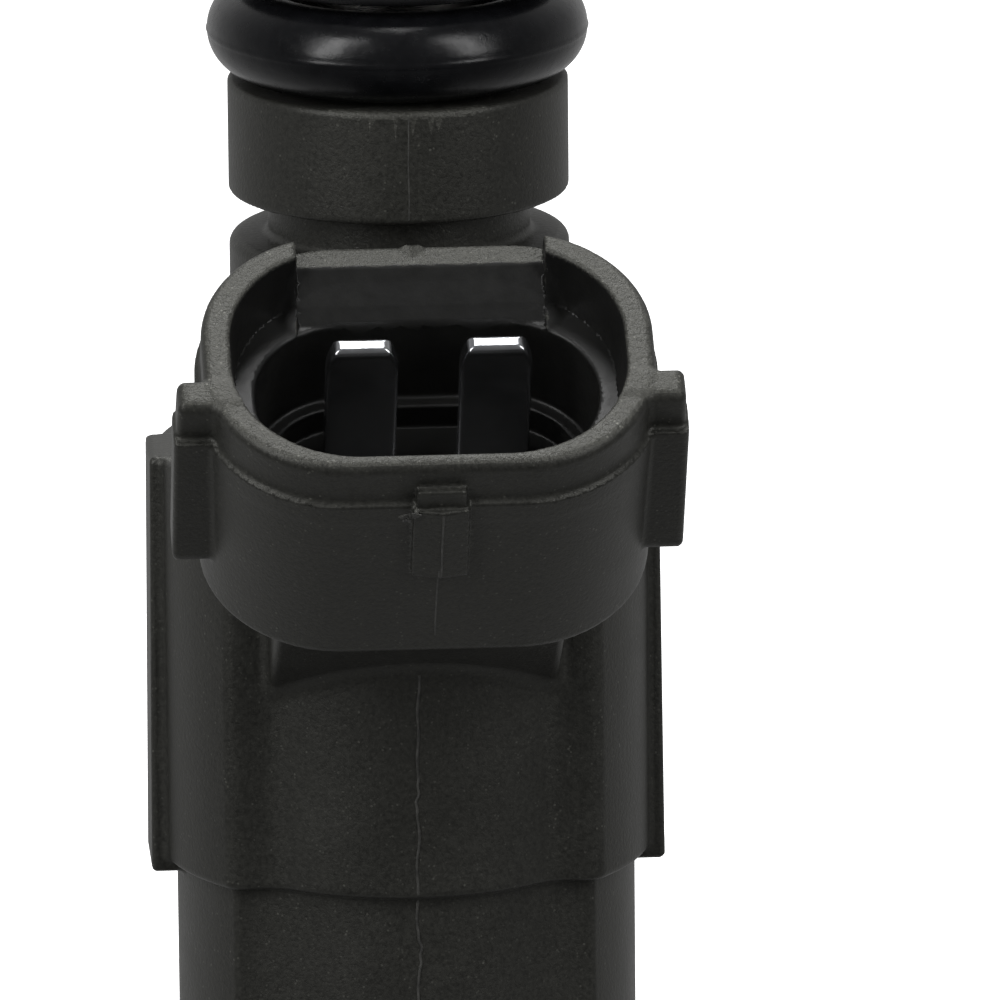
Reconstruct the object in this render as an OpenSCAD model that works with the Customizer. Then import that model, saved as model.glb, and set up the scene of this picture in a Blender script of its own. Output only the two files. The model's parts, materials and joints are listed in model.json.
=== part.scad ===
/* [Overall] */
// Distance between the centres of the two O-rings
seal_spacing = 60; // [59:0.5:62]
// Height of the lower O-ring's centre above the tip
lower_seal_z = 6; // [5.9:0.1:6.3]

/* [O-rings] */
// Section radius of both O-rings
seal_section_r = 1.765; // [1.7:0.005:1.77]
// Inside radius of both O-rings
seal_inner_r = 3.76; // [3.76:0.01:3.8]

/* [Moulded body] */
// Radius of the two collars beside the clip groove
collar_r = 6.5; // [6.2:0.1:6.8]
// Radius at the bottom of the clip groove
clip_groove_r = 5; // [4.6:0.1:5.4]
// Width of the clip groove
clip_groove_w = 1.7; // [1.2:0.1:2]
// Radius of the rounded front panel above the step
upper_panel_r = 8.2; // [8:0.1:8.6]
// Radius of the side shells above the step
upper_shell_r = 9.5; // [9.2:0.1:9.8]
// Half the distance between the upper side shells
upper_shell_half_gap = 6.4; // [6.1:0.1:6.8]
// Half the depth of the body between the upper panel and its shells
upper_valley_half_y = 5.95; // [5.5:0.05:6.2]
// Radius of the rounded front panel below the step
lower_panel_r = 7.6; // [7.4:0.1:7.9]
// Radius of the side shells below the step
lower_shell_r = 8.85; // [8.6:0.05:9.1]
// Half the depth of the lower side shells
lower_shell_half_y = 5.6; // [5.2:0.1:6]
// Distance from the axis to the outside of a side rib
rib_reach = 9.9; // [9.7:0.1:10.3]
// Thickness of a side rib
rib_t = 3.8; // [3:0.1:4.4]

/* [Connector socket] */
// Lean of the socket's axis away from upright
socket_lean = 32; // [31:1:33]
// Distance from the injector's axis to the middle of the socket's rim
socket_reach = 18.2; // [18:0.1:18.6]
// Length of the socket's shell along its own axis
socket_length = 10.1; // [10:0.1:10.5]
// Half the width of the socket's rim
rim_half_w = 8.4; // [8.2:0.1:8.6]
// How far the skirt below the rim stands proud of it
skirt_proud = 0.22; // [0.1:0.02:0.4]
// Distance between the two blades
blade_pitch = 5; // [4.8:0.1:5.2]
// Width of a blade
blade_w = 2.7; // [2.4:0.1:2.8]
// Thickness of a blade
blade_t = 0.8; // [0.6:0.1:0.8]

/* [Magnet and valve] */
// Outside radius of the steel coil housing
housing_r = 6.6; // [6.5:0.05:6.7]
// Outside radius of the inlet tube and of the coil's bore
core_r = 3.75; // [3.7:0.01:3.75]
// Radius of the valve ball
ball_r = 1.75; // [1.7:0.05:1.8]
// Radial play of the ball in its guide
ball_play = 0.03; // [0.02:0.01:0.06]
// Radial play of the armature in the valve body
armature_play = 0.05; // [0.03:0.01:0.08]
// Air gap above the armature when the valve is shut
air_gap = 0.12; // [0.11:0.01:0.2]
// Turns of the return spring
spring_turns = 8; // [6:1:9]

/* [Hidden] */
$fn = 96;
eps = 0.01;
over = 1;

// heights of the upper end, which follow the rail O-ring
rail_seal_z = lower_seal_z + seal_spacing;
collar_top_z = rail_seal_z - 1.9;
groove_top_z = rail_seal_z - 6.3;
groove_bottom_z = groove_top_z - clip_groove_w;
body_top_z = rail_seal_z - 16.4;
rib_top_z = rail_seal_z - 16.3;
step_z = rail_seal_z - 32.34;
rib_bottom_z = rail_seal_z - 32.8;
socket_z = rail_seal_z - 8.6;
cap_bottom_z = rail_seal_z + 2.15;
core_top_z = rail_seal_z + 4.6;
cap_top_z = rail_seal_z + 5.2;
cap_r = 6.6;

// heights of the lower end, measured from the tip
outlet_floor_z = 1.2;
orifice_z = 1.6;
seat_z = 1.9;
guide_z = 4.2;
guide_top_z = 5.4;
nozzle_cap_top_z = 4.1;
backup_z = lower_seal_z + 1.9;
housing_z = 9.5;
flange_z = 12;
body_bottom_z = 20;
coil_z = 22;
coil_top_z = 41;
housing_top_z = 42.5;
tower_top_z = 43.5;

// socket outline, in its own frame: x across, y towards the body, z out of the mouth
rim_front = -5.4;
rim_back = 6.75;
rim_corner_r = 5.2;
parting_depth = 1.9;
mouth_half_w = 7.15;
mouth_front = -4.55;
mouth_back = 6.1;
mouth_corner_r = 4.5;
mouth_depth = 2.4;
slot_half_w = 4.6;
slot_back = 5.83;
slot_top_depth = 0.93;
pocket_half_w = 6.4;
pocket_front = -3.05;
pocket_back = 4.2;
pocket_corner_r = 3.5;
pocket_depth = 6.3;
well_half_w = 5.85;
well_front = -2.54;
well_back = 3.66;
well_depth = 7.4;
blade_y = 2.1;
blade_tip_depth = 1.25;
blade_tip_cut = 0.45;
ear_reach = 9.55;
ear_front = -2.4;
ear_back = -0.6;
ear_length = 8.2;
ear_step_depth = 1.7;
ear_top_reach = 9.46;
ear_top_front = -1.95;
tab_w = 1.83;
tab_depth = 1;
tab_proud = 0.35;
nub_w = 2.1;
nub_length = 5.4;
nub_proud = 0.35;

// neck that joins the socket to the body, in the side view
neck_half_w = 5.5;
neck_inset = 1;
neck_low_drop = 6.73;
neck_front_y = -2.4;
neck_back_y = 5.2;

// magnet and valve
pole_z = 31;
core_neck_r = 3.3;
core_neck_top_z = 33;
ring_bottom_z = 29.6;
core_bore_r = 2.1;
filter_bore_r = 3.1;
filter_bore_z = rail_seal_z - 11.5;
bobbin_spool_r = 4.4;
bobbin_flange_r = 6;
bobbin_flange_t = 1.8;
housing_bore_r = 6.05;
housing_neck_bore_r = 4.9;
winding_r = 5.7;
small_seal_r = 0.5;
small_seal_gap = 0.03;
small_seal_recess_r = core_r + small_seal_gap + 2 * small_seal_r + eps;
small_seal_recess_h = 2 * small_seal_r + 2 * eps;
tower_half_w = 3.2;
tower_front_y = 5.9;
tower_back_y = 3.95;
strip_w = 1.2;
strip_x = 2;
strip_y = 4.7;
strip_bottom_z = 41.5;
blade_root_depth = 9.5;
strip_elbow_depth = 13.5;
armature_bore_r = 3.25;
armature_r = armature_bore_r - armature_play;
armature_z = 24;
armature_bore_z = 23.4;
needle_r = 1.3;
needle_bore_r = 0.8;
needle_port_r = 0.4;
needle_ports_z = [8.5, 22];
spring_seat_z = 27.5;
fuel_bore_r = 2.6;
seat_r = 3;
seat_hole_r = 0.6;
seat_play = 0.014;
ball_z = 4.6;
seat_touch_r = ball_r * cos(45);
seat_touch_z = ball_z - ball_r * sin(45);
guide_slot_r = 0.5;
guide_slot_at = 2.38;
orifice_r = 0.12;
orifice_at = 0.35;
adjuster_z = 38;
adjuster_top_z = 50;
adjuster_bore_r = 1.4;
adjuster_slit = 0.3;
spring_wire_r = 0.27;
spring_mean_r = 1.65;
spring_steps = 20;
spring_sides = 8;
spring_closed_turns = 1;
filter_ring_in_r = 2.75;
filter_ring_z = rail_seal_z + 0.5;
filter_ring_top_z = rail_seal_z + 4.3;
filter_frame_z = rail_seal_z - 10;
filter_collar_r = 2.9;
filter_mesh_r = 2.2;
filter_mesh_t = 0.15;
filter_rib_r = 2.7;
filter_rib_w = 0.7;
filter_end_t = 1;
nozzle_cap_r = 5.9;
nozzle_opening_r = 2.3;
backup_r = 6.4;

// --- shared shapes -------------------------------------------------------

// a plain round bar between two heights
module bar(r, z0, z1) {
    translate([0, 0, z0]) cylinder(h = z1 - z0, r = r);
}

// a tube between two heights
module tube(r_out, r_in, z0, z1) {
    difference() {
        bar(r_out, z0, z1);
        bar(r_in, z0 - over, z1 + over);
    }
}

// a round seal with a round section
module o_ring(inner_r, section_r, z) {
    translate([0, 0, z])
        rotate_extrude()
            translate([inner_r + section_r, 0])
                circle(r = section_r);
}

// a box given by its half width across, and its ranges in y and z
module slab(half_w, y0, y1, z0, z1) {
    translate([-half_w, y0, z0]) cube([2 * half_w, y1 - y0, z1 - z0]);
}

// a rectangle with round corners, symmetric across x
module rounded_outline(half_w, y0, y1, r) {
    union() {
        translate([-half_w + r, y0]) square([2 * (half_w - r), y1 - y0]);
        translate([-half_w, y0 + r]) square([2 * half_w, y1 - y0 - 2 * r]);
        for (sx = [-1, 1], cy = [y0 + r, y1 - r])
            translate([sx * (half_w - r), cy]) circle(r = r);
    }
}

// a prism of that outline between two depths below the socket's rim
module rounded_prism(half_w, y0, y1, r, depth0, depth1) {
    translate([0, 0, -depth1])
        linear_extrude(height = depth1 - depth0)
            rounded_outline(half_w, y0, y1, r);
}

// places its children in the socket's own frame
module in_socket() {
    translate([0, -socket_reach, socket_z])
        rotate([socket_lean, 0, 0])
            children();
}

// --- moulded body --------------------------------------------------------

// front and back panels with the side shells, above the step
module upper_section() {
    bar(upper_panel_r, step_z, body_top_z);
    difference() {
        bar(upper_shell_r, step_z, body_top_z);
        for (side = [-1, 1])
            translate([0, side * (upper_valley_half_y + upper_shell_r), 0])
                slab(upper_shell_half_gap, -upper_shell_r, upper_shell_r,
                    step_z - over, body_top_z + over);
    }
}

// the same below the step, where the shells stop short of the panels
module lower_section() {
    bar(lower_panel_r, body_bottom_z, step_z + eps);
    intersection() {
        bar(lower_shell_r, body_bottom_z, step_z + eps);
        slab(lower_shell_r + over, -lower_shell_half_y, lower_shell_half_y,
            body_bottom_z - over, step_z + over);
    }
}

module collars() {
    bar(collar_r, body_top_z - eps, groove_bottom_z);
    bar(clip_groove_r, groove_bottom_z - eps, groove_top_z + eps);
    bar(collar_r, groove_top_z, collar_top_z);
}

// the shell of the socket, with its ears, tab and nub, in the socket's frame
module socket_shell() {
    rounded_prism(rim_half_w, rim_front, rim_back, rim_corner_r, 0, parting_depth + eps);
    rounded_prism(rim_half_w + skirt_proud, rim_front - skirt_proud, rim_back,
        rim_corner_r + skirt_proud, parting_depth, socket_length);
    slab(ear_reach, ear_front, ear_back, -ear_length, -ear_step_depth);
    slab(ear_top_reach, ear_top_front, ear_back, -ear_step_depth - eps, 0);
    slab(tab_w / 2, rim_front - tab_proud, rim_front + over, -parting_depth, -tab_depth);
    slab(nub_w / 2, rim_front - skirt_proud - nub_proud, rim_front + over,
        -nub_length, -parting_depth);
}

// wide slot in the socket's back wall, with a sloping floor, in the socket's frame
module back_slot() {
    translate([-slot_half_w, 0, 0])
        rotate([90, 0, 90])
            linear_extrude(height = 2 * slot_half_w)
                polygon([
                    [0, -mouth_depth],
                    [pocket_back, -mouth_depth],
                    [slot_back, -slot_top_depth],
                    [rim_back + over, -slot_top_depth],
                    [rim_back + over, over],
                    [0, over]
                ]);
}

// the hollow that takes the plug, in the socket's frame
module socket_hollow() {
    difference() {
        rounded_prism(mouth_half_w, mouth_front, mouth_back, mouth_corner_r,
            -over, mouth_depth);
        slab(slot_half_w, 0, mouth_back + over, -mouth_depth - over, 2 * over);
    }
    back_slot();
    rounded_prism(pocket_half_w, pocket_front, pocket_back, pocket_corner_r,
        mouth_depth - eps, pocket_depth);
    rounded_prism(well_half_w, well_front, well_back, (well_back - well_front) / 2 - eps,
        pocket_depth - eps, well_depth);
}

// side view of the neck; its upper points lie just inside the socket's floor
module neck() {
    reach = socket_length - neck_inset;
    function side(y, depth) = [
        -socket_reach + y * cos(socket_lean) + depth * sin(socket_lean),
        socket_z + y * sin(socket_lean) - depth * cos(socket_lean)
    ];
    low = [-upper_panel_r, body_top_z - neck_low_drop];
    translate([-neck_half_w, 0, 0])
        rotate([90, 0, 90])
            linear_extrude(height = 2 * neck_half_w)
                polygon([
                    [-collar_r + over, low[1]],
                    low,
                    side(neck_front_y, socket_length),
                    side(neck_front_y, reach),
                    side(neck_back_y, reach),
                    side(neck_back_y, socket_length),
                    [-collar_r + over, body_top_z]
                ]);
}

module overmold_body() {
    color([0.17, 0.17, 0.16])
        difference() {
            union() {
                upper_section();
                lower_section();
                collars();
                slab(rib_reach, -rib_t / 2, rib_t / 2, rib_bottom_z, rib_top_z);
                neck();
                in_socket() socket_shell();
            }
            in_socket() socket_hollow();
            bar(housing_r, body_bottom_z - over, housing_top_z);
            bar(core_r, housing_top_z - over, collar_top_z + over);
            terminal_tower();
            terminal(-1);
            terminal(1);
        }
}

// --- terminals and coil --------------------------------------------------

// one terminal: a blade in the socket, then a narrower strip down to the coil
module terminal(side) {
    blade_x = side * blade_pitch / 2;
    elbow_y = -socket_reach + blade_y * cos(socket_lean) + strip_elbow_depth * sin(socket_lean);
    elbow_z = socket_z + blade_y * sin(socket_lean) - strip_elbow_depth * cos(socket_lean);
    in_socket() {
        translate([blade_x, blade_y + blade_t / 2, -blade_root_depth])
            rotate([90, 0, 0])
                linear_extrude(height = blade_t)
                    polygon([
                        [-blade_w / 2, 0],
                        [blade_w / 2, 0],
                        [blade_w / 2, blade_root_depth - blade_tip_depth - blade_tip_cut],
                        [blade_w / 2 - blade_tip_cut, blade_root_depth - blade_tip_depth],
                        [-blade_w / 2 + blade_tip_cut, blade_root_depth - blade_tip_depth],
                        [-blade_w / 2, blade_root_depth - blade_tip_depth - blade_tip_cut]
                    ]);
        translate([side * strip_x, 0, 0])
            slab(strip_w / 2, blade_y - blade_t / 2, blade_y + blade_t / 2,
                -strip_elbow_depth, -blade_root_depth + eps);
    }
    translate([side * strip_x, 0, 0]) {
        slab(strip_w / 2, elbow_y, -strip_y, elbow_z - blade_t / 2, elbow_z + blade_t / 2);
        slab(strip_w / 2, -strip_y - blade_t / 2, -strip_y + blade_t / 2,
            strip_bottom_z, elbow_z);
        for (bend_y = [elbow_y, -strip_y])
            translate([-strip_w / 2, bend_y, elbow_z])
                rotate([0, 90, 0])
                    cylinder(h = strip_w, r = blade_t / 2);
    }
}

module terminal_left() {
    color([0.78, 0.78, 0.76]) terminal(-1);
}

module terminal_right() {
    color([0.78, 0.78, 0.76]) terminal(1);
}

// block on the bobbin that holds the feet of both terminals
module terminal_tower() {
    intersection() {
        bar(bobbin_flange_r, coil_top_z - eps, tower_top_z);
        slab(tower_half_w, -tower_front_y, -tower_back_y, coil_top_z - over, tower_top_z);
    }
}

module coil_bobbin() {
    color([0.85, 0.82, 0.72])
        difference() {
            union() {
                bar(bobbin_spool_r, coil_z, coil_top_z);
                bar(bobbin_flange_r, coil_z, coil_z + bobbin_flange_t);
                bar(bobbin_flange_r, coil_top_z - bobbin_flange_t, coil_top_z);
                terminal_tower();
            }
            bar(core_r, coil_z - over, coil_top_z + over);
            bar(small_seal_recess_r, coil_z - over, coil_z + small_seal_recess_h);
            bar(small_seal_recess_r, coil_top_z - small_seal_recess_h, coil_top_z + eps);
            terminal(-1);
            terminal(1);
        }
}

module coil_winding() {
    color([0.72, 0.38, 0.18])
        tube(winding_r, bobbin_spool_r, coil_z + bobbin_flange_t,
            coil_top_z - bobbin_flange_t);
}

module lower_bobbin_seal() {
    color([0.1, 0.1, 0.1])
        o_ring(core_r + small_seal_gap, small_seal_r, coil_z + small_seal_r);
}

module upper_bobbin_seal() {
    color([0.1, 0.1, 0.1])
        o_ring(core_r + small_seal_gap, small_seal_r, coil_top_z - small_seal_r - eps);
}

// steel can around the coil, which also carries the field down to the valve body
module solenoid_housing() {
    color([0.62, 0.63, 0.64])
        difference() {
            bar(housing_r, housing_z, housing_top_z);
            bar(core_r, housing_z - over, flange_z + over);
            bar(housing_neck_bore_r, flange_z, coil_z + over);
            bar(housing_bore_r, coil_z, housing_top_z + over);
        }
}

// steel ring that closes the can over the coil, notched for the terminals
module yoke_cap() {
    color([0.6, 0.6, 0.62])
        difference() {
            tube(housing_bore_r, core_r, coil_top_z, housing_top_z);
            terminal_tower();
        }
}

// --- fuel inlet ----------------------------------------------------------

// steel tube from the inlet down to the pole face
module inlet_core() {
    color([0.7, 0.7, 0.7])
        difference() {
            union() {
                bar(core_r, core_neck_top_z, core_top_z);
                bar(core_neck_r, pole_z, core_neck_top_z + eps);
            }
            bar(core_bore_r, pole_z - over, core_top_z + over);
            bar(filter_bore_r, filter_bore_z, core_top_z + over);
        }
}

module nonmagnetic_ring() {
    color([0.75, 0.73, 0.68])
        tube(core_r, core_neck_r, ring_bottom_z, core_neck_top_z);
}

// flanged plastic ring that keeps the rail O-ring on the tube
module retainer_cap() {
    color([0.06, 0.06, 0.07])
        difference() {
            bar(cap_r, cap_bottom_z, cap_top_z);
            bar(core_r, cap_bottom_z - over, core_top_z);
            bar(filter_bore_r, core_top_z - over, cap_top_z + over);
        }
}

module rail_o_ring() {
    color([0.04, 0.04, 0.05])
        o_ring(seal_inner_r, seal_section_r, rail_seal_z);
}

module filter_ring() {
    color([0.8, 0.65, 0.3])
        tube(filter_bore_r, filter_ring_in_r, filter_ring_z, filter_ring_top_z);
}

// basket frame: a collar, four ribs and a closed lower end
module filter_frame() {
    color([0.9, 0.88, 0.8]) {
        tube(filter_collar_r, filter_mesh_r, filter_ring_z - filter_end_t, filter_ring_z);
        bar(filter_rib_r, filter_frame_z, filter_frame_z + filter_end_t);
        difference() {
            for (a = [0, 90])
                rotate([0, 0, a])
                    slab(filter_rib_w / 2, -filter_rib_r, filter_rib_r,
                        filter_frame_z + filter_end_t - eps, filter_ring_z - filter_end_t + eps);
            bar(filter_mesh_r, filter_frame_z + filter_end_t, filter_ring_z);
        }
    }
}

module filter_mesh() {
    color([0.8, 0.8, 0.75])
        tube(filter_mesh_r, filter_mesh_r - filter_mesh_t, filter_frame_z + filter_end_t,
            filter_ring_z);
}

// rolled tube, split along its length, that sets the spring's load
module adjusting_tube() {
    color([0.65, 0.65, 0.65])
        difference() {
            tube(core_bore_r, adjuster_bore_r, adjuster_z, adjuster_top_z);
            slab(adjuster_slit / 2, 0, core_bore_r + over, adjuster_z - over,
                adjuster_top_z + over);
        }
}

// --- moving needle and its spring ----------------------------------------

// height of the spring's centre line after a number of turns, with closed ends
function spring_rise(turn) =
    let (free_turns = spring_turns - 2 * spring_closed_turns)
    let (low = spring_seat_z + spring_wire_r)
    let (high = adjuster_z - spring_wire_r)
    let (closed_rise = 2 * (spring_wire_r + eps))
    let (pitch = (high - low - 2 * closed_rise) / free_turns)
    turn < spring_closed_turns ? low + closed_rise * turn / spring_closed_turns :
    turn > spring_turns - spring_closed_turns ?
        high - closed_rise * (spring_turns - turn) / spring_closed_turns :
    low + closed_rise + pitch * (turn - spring_closed_turns);

// helical wire with a ring of points at each step along it
module return_spring() {
    rings = spring_turns * spring_steps;
    points = [
        for (i = [0:rings], k = [0:spring_sides - 1])
            let (angle = 360 * i / spring_steps)
            let (around = 360 * k / spring_sides)
            let (r = spring_mean_r + spring_wire_r * cos(around))
            [
                r * cos(angle),
                r * sin(angle),
                spring_rise(i / spring_steps) + spring_wire_r * sin(around)
            ]
    ];
    sides = [
        for (i = [0:rings - 1], k = [0:spring_sides - 1])
            let (next = (k + 1) % spring_sides)
            let (row = i * spring_sides)
            [row + k, row + next, row + spring_sides + next, row + spring_sides + k]
    ];
    start = [for (k = [spring_sides - 1:-1:0]) k];
    end = [for (k = [0:spring_sides - 1]) rings * spring_sides + k];
    color([0.75, 0.75, 0.75])
        polyhedron(points = points, faces = concat([start], sides, [end]));
}

module armature() {
    color([0.66, 0.66, 0.66])
        difference() {
            bar(armature_r, armature_z, pole_z - air_gap);
            bar(needle_r, armature_z - over, pole_z);
            bar(core_bore_r, spring_seat_z, pole_z);
        }
}

// hollow needle, cupped on to the ball, with cross holes that let the fuel out
module needle_tube() {
    color([0.72, 0.72, 0.72])
        difference() {
            tube(needle_r, needle_bore_r, ball_z + over, spring_seat_z);
            translate([0, 0, ball_z]) sphere(r = ball_r);
            for (z = needle_ports_z)
                translate([0, 0, z])
                    rotate([90, 0, 0])
                        cylinder(h = 2 * (needle_r + over), r = needle_port_r, center = true);
        }
}

module valve_ball() {
    color([0.8, 0.8, 0.82])
        translate([0, 0, ball_z]) sphere(r = ball_r);
}

// --- valve seat and nozzle -----------------------------------------------

module valve_body() {
    color([0.7, 0.7, 0.69])
        difference() {
            union() {
                bar(core_r, outlet_floor_z, ring_bottom_z);
                bar(housing_neck_bore_r, flange_z, coil_z);
            }
            bar(fuel_bore_r, outlet_floor_z - over, ring_bottom_z + over);
            bar(armature_bore_r, armature_bore_z, ring_bottom_z + over);
            bar(seat_r, outlet_floor_z - over, guide_top_z);
        }
}

// disc that centres the ball, with round fuel passages around it
module ball_guide() {
    color([0.7, 0.68, 0.66])
        difference() {
            tube(seat_r, ball_r + ball_play, guide_z, guide_top_z);
            for (a = [45:90:315])
                rotate([0, 0, a])
                    translate([guide_slot_at, 0, guide_z - over])
                        cylinder(h = guide_top_z - guide_z + 2 * over, r = guide_slot_r);
        }
}

// cone that the ball closes on, over the outlet hole
module valve_seat() {
    cone_r = seat_touch_r + seat_play;
    color([0.74, 0.74, 0.74])
        rotate_extrude()
            polygon([
                [seat_hole_r, seat_z],
                [seat_r, seat_z],
                [seat_r, guide_z],
                [cone_r + guide_z - seat_touch_z, guide_z],
                [seat_hole_r, seat_touch_z - cone_r + seat_hole_r]
            ]);
}

module orifice_plate() {
    color([0.78, 0.78, 0.78])
        difference() {
            bar(seat_r, orifice_z, seat_z);
            for (a = [0:90:270])
                rotate([0, 0, a])
                    translate([orifice_at, 0, orifice_z - over])
                        cylinder(h = seat_z - orifice_z + 2 * over, r = orifice_r);
        }
}

module nozzle_cap() {
    color([0.1, 0.1, 0.1])
        difference() {
            bar(nozzle_cap_r, 0, nozzle_cap_top_z);
            bar(nozzle_opening_r, -over, outlet_floor_z + over);
            bar(core_r, outlet_floor_z, nozzle_cap_top_z + over);
        }
}

module lower_o_ring() {
    color([0.04, 0.04, 0.05])
        o_ring(seal_inner_r, seal_section_r, lower_seal_z);
}

module lower_backup_ring() {
    color([0.85, 0.83, 0.75])
        tube(backup_r, core_r, backup_z, housing_z);
}

overmold_body();
retainer_cap();
rail_o_ring();
inlet_core();
filter_ring();
filter_frame();
filter_mesh();
adjusting_tube();
return_spring();
armature();
needle_tube();
valve_ball();
ball_guide();
valve_seat();
orifice_plate();
nonmagnetic_ring();
valve_body();
coil_bobbin();
coil_winding();
upper_bobbin_seal();
lower_bobbin_seal();
solenoid_housing();
yoke_cap();
terminal_left();
terminal_right();
lower_backup_ring();
lower_o_ring();
nozzle_cap();
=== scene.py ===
"""Looks of the fuel injector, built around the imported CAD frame.

Lengths are in millimetres, except where a mesh, the floor or a light takes metres.
"""
import json
import math
import random
from concurrent.futures import ThreadPoolExecutor

import bmesh
import bpy
import numpy as np
import openvdb
from mathutils import Matrix, Vector


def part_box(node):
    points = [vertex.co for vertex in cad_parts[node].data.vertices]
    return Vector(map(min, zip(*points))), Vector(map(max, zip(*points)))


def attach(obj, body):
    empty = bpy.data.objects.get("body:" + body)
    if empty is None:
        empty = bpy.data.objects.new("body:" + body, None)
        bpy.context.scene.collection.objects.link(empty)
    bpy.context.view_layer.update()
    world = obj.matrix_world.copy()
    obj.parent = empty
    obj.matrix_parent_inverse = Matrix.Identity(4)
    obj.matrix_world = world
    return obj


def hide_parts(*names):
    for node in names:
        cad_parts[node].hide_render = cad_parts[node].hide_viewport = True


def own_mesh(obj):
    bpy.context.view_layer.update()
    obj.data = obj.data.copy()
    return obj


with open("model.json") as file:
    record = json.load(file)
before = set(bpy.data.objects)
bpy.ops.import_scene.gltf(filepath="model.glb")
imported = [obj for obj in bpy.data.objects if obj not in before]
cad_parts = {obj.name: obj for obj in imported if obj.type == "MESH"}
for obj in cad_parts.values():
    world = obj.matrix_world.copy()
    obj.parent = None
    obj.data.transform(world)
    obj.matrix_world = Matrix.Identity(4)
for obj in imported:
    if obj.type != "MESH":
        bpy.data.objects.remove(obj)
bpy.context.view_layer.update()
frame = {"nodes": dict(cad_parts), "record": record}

MM = 0.001


def box_mm(node):
    """Lowest and highest corner of a CAD node, in millimetres."""
    low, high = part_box(node)
    return np.array(low) / MM, np.array(high) / MM


# --- heights and radii read from the frame ----------------------------------
rail_low, rail_high = box_mm("rail_o_ring")
body_low, body_high = box_mm("overmold_body")
RAIL_Z = (rail_low[2] + rail_high[2]) / 2
BODY_BOTTOM = body_low[2]
COLLAR_TOP = body_high[2]
GROOVE_TOP = RAIL_Z - 6.3
GROOVE_BOTTOM = GROOVE_TOP - 1.7
BODY_TOP = RAIL_Z - 16.4
STEP = RAIL_Z - 32.34
RIB_TOP = RAIL_Z - 16.3
RIB_BOTTOM = RAIL_Z - 32.8
CORE_R = box_mm("inlet_core")[1][0]
HOUSING_R = box_mm("solenoid_housing")[1][0]
HOUSING_TOP = box_mm("solenoid_housing")[1][2]
TOWER_TOP = box_mm("coil_bobbin")[1][2]
COLLAR_R = 6.5
GROOVE_R = 5.0

# the socket's frame: x across, u towards the body, depth below the rim
SOCKET_Y = -18.2
SOCKET_Z = RAIL_Z - 8.6
LEAN = math.radians(32)
SOCKET_LENGTH = 10.1
PARTING = 1.9  # depth at which the drafted skirt begins below the rim
EAR_STEP = 1.7  # depth of the step on each ear
CORE_SHIFT = 0.16  # how far the blades, the tab and the nub sit to one side
MOUTH_DEPTH = 2.4
POCKET_BACK = 4.2  # u of the pocket's back wall
SLOT_HALF = 4.63  # half the width of the slot in the back wall
SLOT_DEPTH = 0.93  # depth of the slot where it leaves the rim
BLADE_U = 2.1  # u of the blades' middle plane
BLADE_TIP = 1.25  # depth of the blades' tips
METAL_HALF = 0.4  # half the thickness of a terminal
ELBOW_DEPTH = 13.5  # where a terminal turns towards the axis
FOOT_Y = -4.7  # where it turns down to the coil

# --- distance fields ----------------------------------------------------------
# A field is negative inside the solid, zero on its surface and positive outside.


def either(a, b, r):
    """Union of two fields, with a concave fillet of radius r."""
    return np.maximum(r, np.minimum(a, b)) - np.hypot(np.maximum(r - a, 0), np.maximum(r - b, 0))


def both(a, b, r):
    """Intersection of two fields, with a convex edge of radius r."""
    return -either(-a, -b, r)


def cut(a, b, r):
    """Field a without b, with an edge of radius r."""
    return both(a, -b, r)


def between(value, low, high):
    """Field of the slab low < value < high."""
    return np.abs(value - (low + high) / 2) - (high - low) / 2


def outline(x, y, half_w, y0, y1, r):
    """Field of a rectangle with round corners, symmetric across x."""
    qx = np.abs(x) - (half_w - r)
    qy = np.abs(y - (y0 + y1) / 2) - ((y1 - y0) / 2 - r)
    outside = np.hypot(np.maximum(qx, 0), np.maximum(qy, 0))
    return outside + np.minimum(np.maximum(qx, qy), 0) - r


def socket_axes(y, z):
    """u and depth of points in the socket's frame."""
    dy, dz = y - SOCKET_Y, z - SOCKET_Z
    u = dy * math.cos(LEAN) + dz * math.sin(LEAN)
    depth = dy * math.sin(LEAN) - dz * math.cos(LEAN)
    return u, depth


def socket_point(u, depth):
    """y and z of a place given in the socket's frame."""
    return (
        SOCKET_Y + u * math.cos(LEAN) + depth * math.sin(LEAN),
        SOCKET_Z + u * math.sin(LEAN) - depth * math.cos(LEAN),
    )


def half_plane(a, b, p, q):
    """Signed distance in a plane to the line from p to q; its left side is inside."""
    along = np.array(q, float) - p
    along /= np.hypot(*along)
    return (a - p[0]) * along[1] - (b - p[1]) * along[0]


def body_sections(x, y, z):
    """The ribbed part of the body, above and below the step."""
    r = np.hypot(x, y)
    valley = ((5.9 + 0.7 * (np.abs(x) - 5.67)) - np.abs(y)) / 1.22
    shells = cut(r - 9.5, valley, 0.8)
    upper = both(either(r - 8.2, shells, 1.1), between(z, STEP, BODY_TOP), 0.28)
    flats = both(r - 8.85, np.abs(y) - 5.6, 0.14)
    lower = both(either(r - 7.6, flats, 1.0), between(z, BODY_BOTTOM, STEP + 1), 0.35)
    rib_reach = 9.92 - 0.15 * (z - RIB_BOTTOM) / (RIB_TOP - RIB_BOTTOM)
    rib = both(np.abs(x) - rib_reach, np.abs(y) - 1.9, 0.22)
    rib = both(rib, between(z, RIB_BOTTOM, RIB_TOP), 0.25)
    return either(either(upper, lower, 0.2), rib, 0.25)


def collars(x, y, z):
    """The two collars and the clip groove between them."""
    r = np.hypot(x, y)
    low = both(r - COLLAR_R, between(z, BODY_TOP - 3, GROOVE_BOTTOM), 0.45)
    groove = both(r - GROOVE_R, between(z, GROOVE_BOTTOM - 1, GROOVE_TOP + 1), 0.1)
    top = both(r - COLLAR_R, between(z, GROOVE_TOP, COLLAR_TOP), 0.22)
    return either(either(low, groove, 0.3), top, 0.2)


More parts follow.
